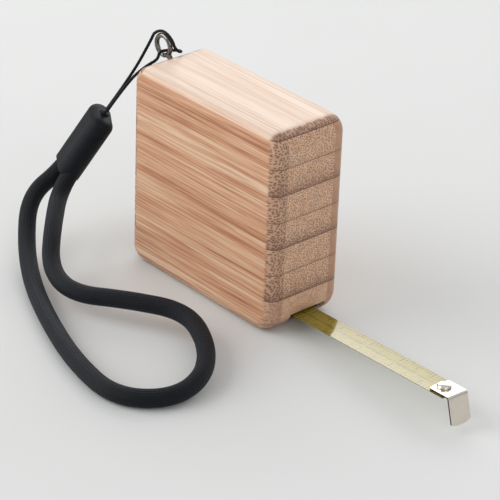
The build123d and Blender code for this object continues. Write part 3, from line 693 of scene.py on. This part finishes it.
def hook_surface(u, t, depth):
    """A point of the hook: u along its outside from the tongue to the foot, t across, depth inwards."""
    half = HOOK_W / 2
    foot = LIP - bend_reach + FOOT_BOW * (1 - (t / half) ** 2)
    whole = flat + arc + foot
    u = u * whole
    if u < flat:
        s, n, inward = PLATE_BACK + u, outer_top, Vector((0, -1))
    elif u < flat + arc:
        angle = (u - flat) / BEND_R
        centre_s, centre_n = PLATE_BACK + flat, outer_top - BEND_R
        s, n = centre_s + BEND_R * sin(angle), centre_n + BEND_R * cos(angle)
        inward = Vector((-sin(angle), -cos(angle)))
    else:
        down = u - flat - arc + bend_reach
        s, n = HOOK_FRONT + down * sin(LIP_FLARE), outer_top - down * cos(LIP_FLARE)
        inward = Vector((-cos(LIP_FLARE), -sin(LIP_FLARE)))
    tongue = min(1.0, max(0.0, (s - PLATE_BACK) / TAPER))
    narrow, ahead = HOOK_W, 0
    if n > outer_top - FLUSH:
        narrow = TONGUE_W + (HOOK_W - TONGUE_W) * sqrt(1 - (1 - tongue) ** 2)
        ahead = TONGUE_BOW * (t / half) ** 2 * (1 - tongue)
    return on_tape(s + inward[0] * depth + ahead, t * narrow / HOOK_W, n + inward[1] * depth)


verts, faces = [], []
for depth in (0, HOOK_T):
    for i in range(HOOK_ROWS + 1):
        for k in range(HOOK_COLUMNS + 1):
            verts.append(hook_surface(i / HOOK_ROWS, (2 * k / HOOK_COLUMNS - 1) * HOOK_W / 2, depth))
row_size, sheet_size = HOOK_COLUMNS + 1, (HOOK_ROWS + 1) * (HOOK_COLUMNS + 1)
for i in range(HOOK_ROWS):
    for k in range(HOOK_COLUMNS):
        near, far = i * row_size + k, (i + 1) * row_size + k
        quad = (near, near + 1, far + 1, far)
        faces.append(quad[::-1])
        faces.append(tuple(q + sheet_size for q in quad))
rim = list(range(row_size)) + [i * row_size + HOOK_COLUMNS for i in range(1, HOOK_ROWS + 1)]
rim += [HOOK_ROWS * row_size + k for k in range(HOOK_COLUMNS - 1, -1, -1)]
rim += [i * row_size for i in range(HOOK_ROWS - 1, 0, -1)]
for a, b in zip(rim, rim[1:] + rim[:1]):
    faces.append((a, b, b + sheet_size, a + sheet_size))
hook_mesh = bpy.data.meshes.new("end_hook_stamped")
hook_mesh.from_pydata(verts, [], faces)
hook = bpy.data.objects.new("end_hook_stamped", hook_mesh)
bpy.context.collection.objects.link(hook)
hook_mesh.materials.append(nickel)
hook_mesh.materials.append(hook_edge_dark_paint)
# the rim faces take the painted dark reflection
for face in list(hook_mesh.polygons)[-len(rim):]:
    face.material_index = 1
edge_round = hook.modifiers.new("edge_round", "BEVEL")
edge_round.width = 0.07 * MM
edge_round.segments = 3
edge_round.limit_method = "ANGLE"
edge_round.angle_limit = radians(40)
for face in hook_mesh.polygons:
    face.use_smooth = True
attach(hook, "hook")
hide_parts("end_hook")


# ---- rivet -------------------------------------------------------------------------------------
# One nickel plated rivet with a low domed head, set through the hook's slot and the tape.
def turned(name, centre, axis, outline, around=48):
    """A turned part: outline is (radius, height) from its lower middle to its upper middle."""
    side = axis.orthogonal().normalized()
    other = axis.cross(side)
    verts, faces = [centre + axis * outline[0][1]], []
    for radius, height in outline[1:-1]:
        for k in range(around):
            angle = 2 * pi * k / around
            verts.append(centre + axis * height + (side * cos(angle) + other * sin(angle)) * radius)
    verts.append(centre + axis * outline[-1][1])
    rings = len(outline) - 2
    for k in range(around):
        n = (k + 1) % around
        faces.append((0, 1 + n, 1 + k))
        for r in range(rings - 1):
            a, b = 1 + r * around, 1 + (r + 1) * around
            faces.append((a + k, a + n, b + n, b + k))
        top = 1 + (rings - 1) * around
        faces.append((top + k, top + n, len(verts) - 1))
    mesh = bpy.data.meshes.new(name)
    mesh.from_pydata(verts, [], faces)
    for face in mesh.polygons:
        face.use_smooth = True
    mesh.set_sharp_from_angle(angle=CREASE)
    made = bpy.data.objects.new(name, mesh)
    bpy.context.collection.objects.link(made)
    return made


RIVET_AT = HOOK_FRONT - 4.3 * MM      # the rivet's axis, out from the mouth
RIVET_R, RIVET_HEAD_R, RIVET_HEAD_H = 0.8 * MM, 1.68 * MM, 0.88 * MM
RIVET_TAIL_R, RIVET_TAIL_H = 1.38 * MM, 0.28 * MM
head_foot = HOOK_T + 2 * HOOK_LIFT
tail_top = -TAPE_SAG - TAPE_T - HOOK_LIFT
outline = [(0, tail_top - RIVET_TAIL_H)]
outline += [(RIVET_TAIL_R * sin(a), tail_top - RIVET_TAIL_H * (0.4 + 0.6 * cos(a)))
            for a in (radians(d) for d in (20, 45, 70, 90))]
outline += [(RIVET_TAIL_R, tail_top), (RIVET_R, tail_top), (RIVET_R, head_foot)]
outline += [(RIVET_HEAD_R * 0.97, head_foot), (RIVET_HEAD_R, head_foot + 0.05 * MM)]
outline += [(RIVET_HEAD_R, head_foot + RIVET_HEAD_H * 0.45)]
outline += [(RIVET_HEAD_R * cos(a) ** 0.8, head_foot + RIVET_HEAD_H * (0.45 + 0.55 * sin(a)))
            for a in (radians(d) for d in (15, 30, 45, 60, 72, 82))]
outline += [(0, head_foot + RIVET_HEAD_H)]
rivet = turned("hook_rivet_domed", on_tape(RIVET_AT, 0, 0), over, outline)
rivet.data.materials.append(nickel)
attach(rivet, "blade")
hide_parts("hook_rivet")

# ---- screw eye ---------------------------------------------------------------------------------
# A bought steel screw eye in nickel plate, its metal painted dark to stand in for the dark reflections it
# shows:
# wire bent into a ring whose end closes on the neck, with its thread screwed into the rear top corner at 45
# degrees.
eye_metal_painted_dark, shader = new_finish("eye_metal_painted_dark", Metallic=1.0)
where = add(eye_metal_painted_dark, "TexCoord").outputs["Object"]
pit = noise(eye_metal_painted_dark, where, 2600.0, 3.0)
# painted dark reflection: a dark base colour for the ring and neck
join(eye_metal_painted_dark, ramp(eye_metal_painted_dark, pit, (0.3, (0.13, 0.12, 0.11)), (0.7, (0.24, 0.225, 0.205))),
     shader, "Base Color")
join(eye_metal_painted_dark, greys(eye_metal_painted_dark, pit, (0.3, 0.08), (0.75, 0.17)), shader, "Roughness")
roughen(eye_metal_painted_dark, shader, pit, 0.006 * MM, 0.5)
EYE_AXIS = Vector((-1, 0, 1)).normalized()
CORNER_R = 4 * MM         # rounding of the case's rear top corner
EYE_FOOT = Vector((-21, 0, 46)) * MM + EYE_AXIS * CORNER_R
EYE_STAND = 3.75 * MM     # the ring's centre above the corner
EYE_CENTRE = EYE_FOOT + EYE_AXIS * EYE_STAND
EYE_R, EYE_WIRE = 2.4 * MM, 0.6 * MM
SHANK_R, SHANK_LEN = 0.75 * MM, 4.8 * MM
EYE_GAP = radians(14)     # where the wire's end stops short of the neck
eye_side = Vector((0, 1, 0)).cross(EYE_AXIS)
RING_STEPS = 96
ring_places = []
for i in range(RING_STEPS + 1):
    angle = -pi / 2 + (2 * pi - EYE_GAP) * i / RING_STEPS
    ring_places.append(EYE_CENTRE + (eye_side * cos(angle) + EYE_AXIS * sin(angle)) * EYE_R)
ring = sleeve("screw_eye_ring", ring_places, 24, lambda distance, turn: EYE_WIRE)
ring.data.materials.append(eye_metal_painted_dark)
shank_outline = [(0, -SHANK_LEN), (0.12 * MM, -SHANK_LEN)]
THREADS = 24
for i in range(THREADS):
    height = -SHANK_LEN + 0.3 * MM + (SHANK_LEN - 0.9 * MM) * i / (THREADS - 1)
    taper = min(1.0, 0.3 + i / 6)
    shank_outline.append((SHANK_R * taper * (0.8 + 0.2 * (i % 2)), height))
shank_outline += [(SHANK_R * 0.86, -0.4 * MM), (SHANK_R * 0.86, 0.5 * MM), (SHANK_R * 0.92, 0.9 * MM),
                  (SHANK_R * 0.80, 1.5 * MM), (0, 1.7 * MM)]
neck = turned("screw_eye_neck", EYE_FOOT, EYE_AXIS, shank_outline, 32)
neck.data.materials.append(eye_metal_painted_dark)
for piece in (ring, neck):
    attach(piece, "case")
    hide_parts("screw_eye")
